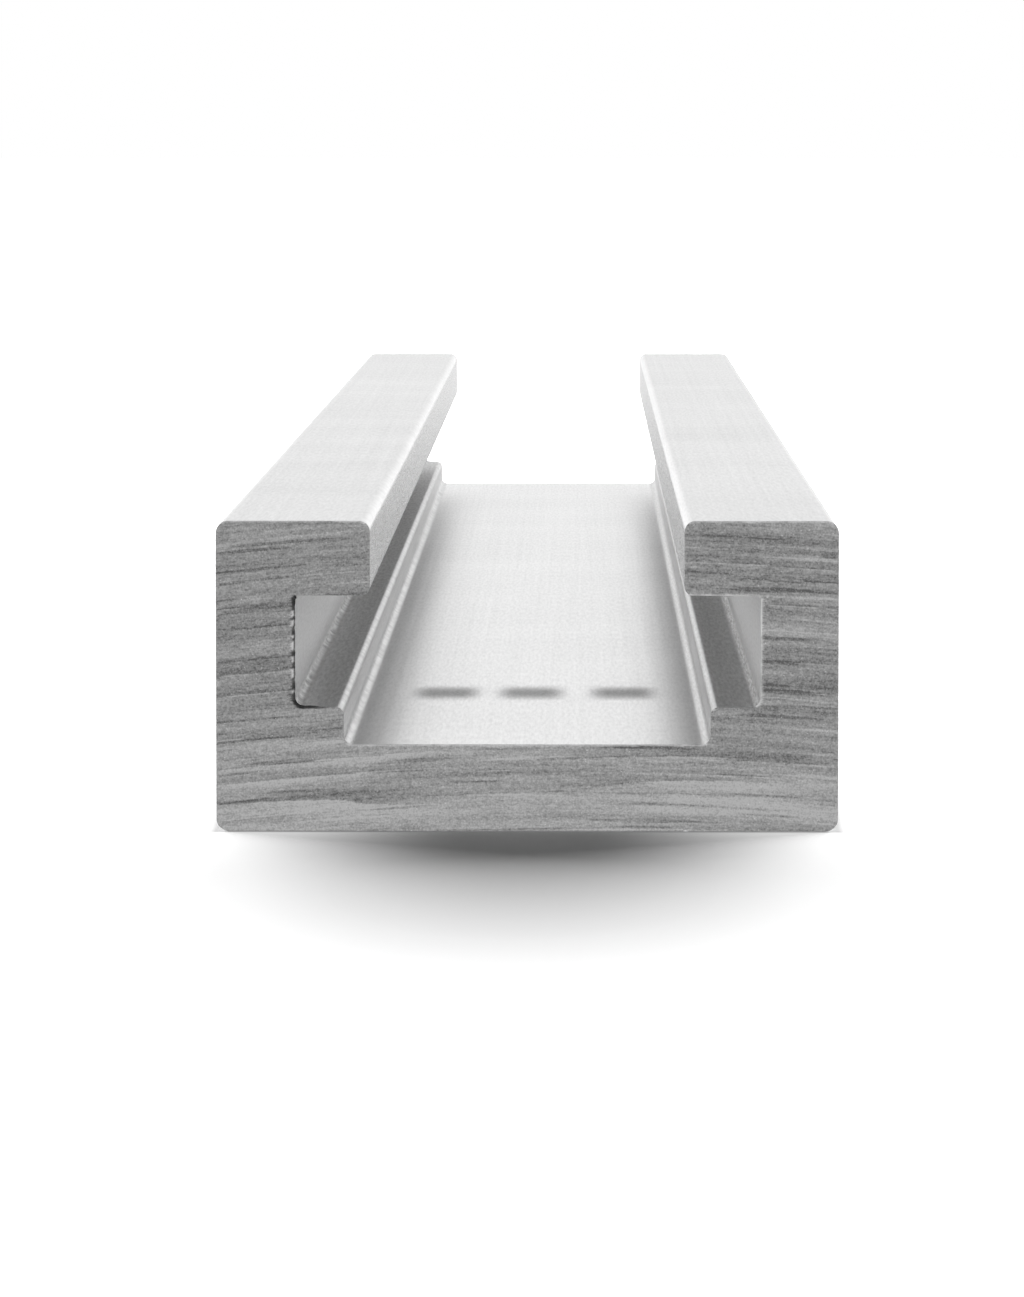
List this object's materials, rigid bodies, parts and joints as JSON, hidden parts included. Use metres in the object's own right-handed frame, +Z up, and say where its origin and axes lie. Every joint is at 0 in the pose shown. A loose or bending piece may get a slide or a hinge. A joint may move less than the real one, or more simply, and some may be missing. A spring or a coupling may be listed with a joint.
{
  "type": "aluminium extrusion profile",
  "caption": "Straight sawn length of extruded aluminium profile with an open slot, an undercut behind each lip and a shallow channel in its floor, for sliding nuts, tongues or inserts.",
  "frame": {"origin": "centre of the underside, halfway along the length", "axes": "+X across the width, +Y along the length away from the end that the picture shows, +Z up out of the slot"},
  "size_m": [0.02, 0.15, 0.01],
  "materials": {
    "aluminium": "satin mill finish along the length, streaked saw marks on both ends"
  },
  "bodies": {
    "root": {"t_slot_profile": "aluminium"}
  },
  "joints": []
}
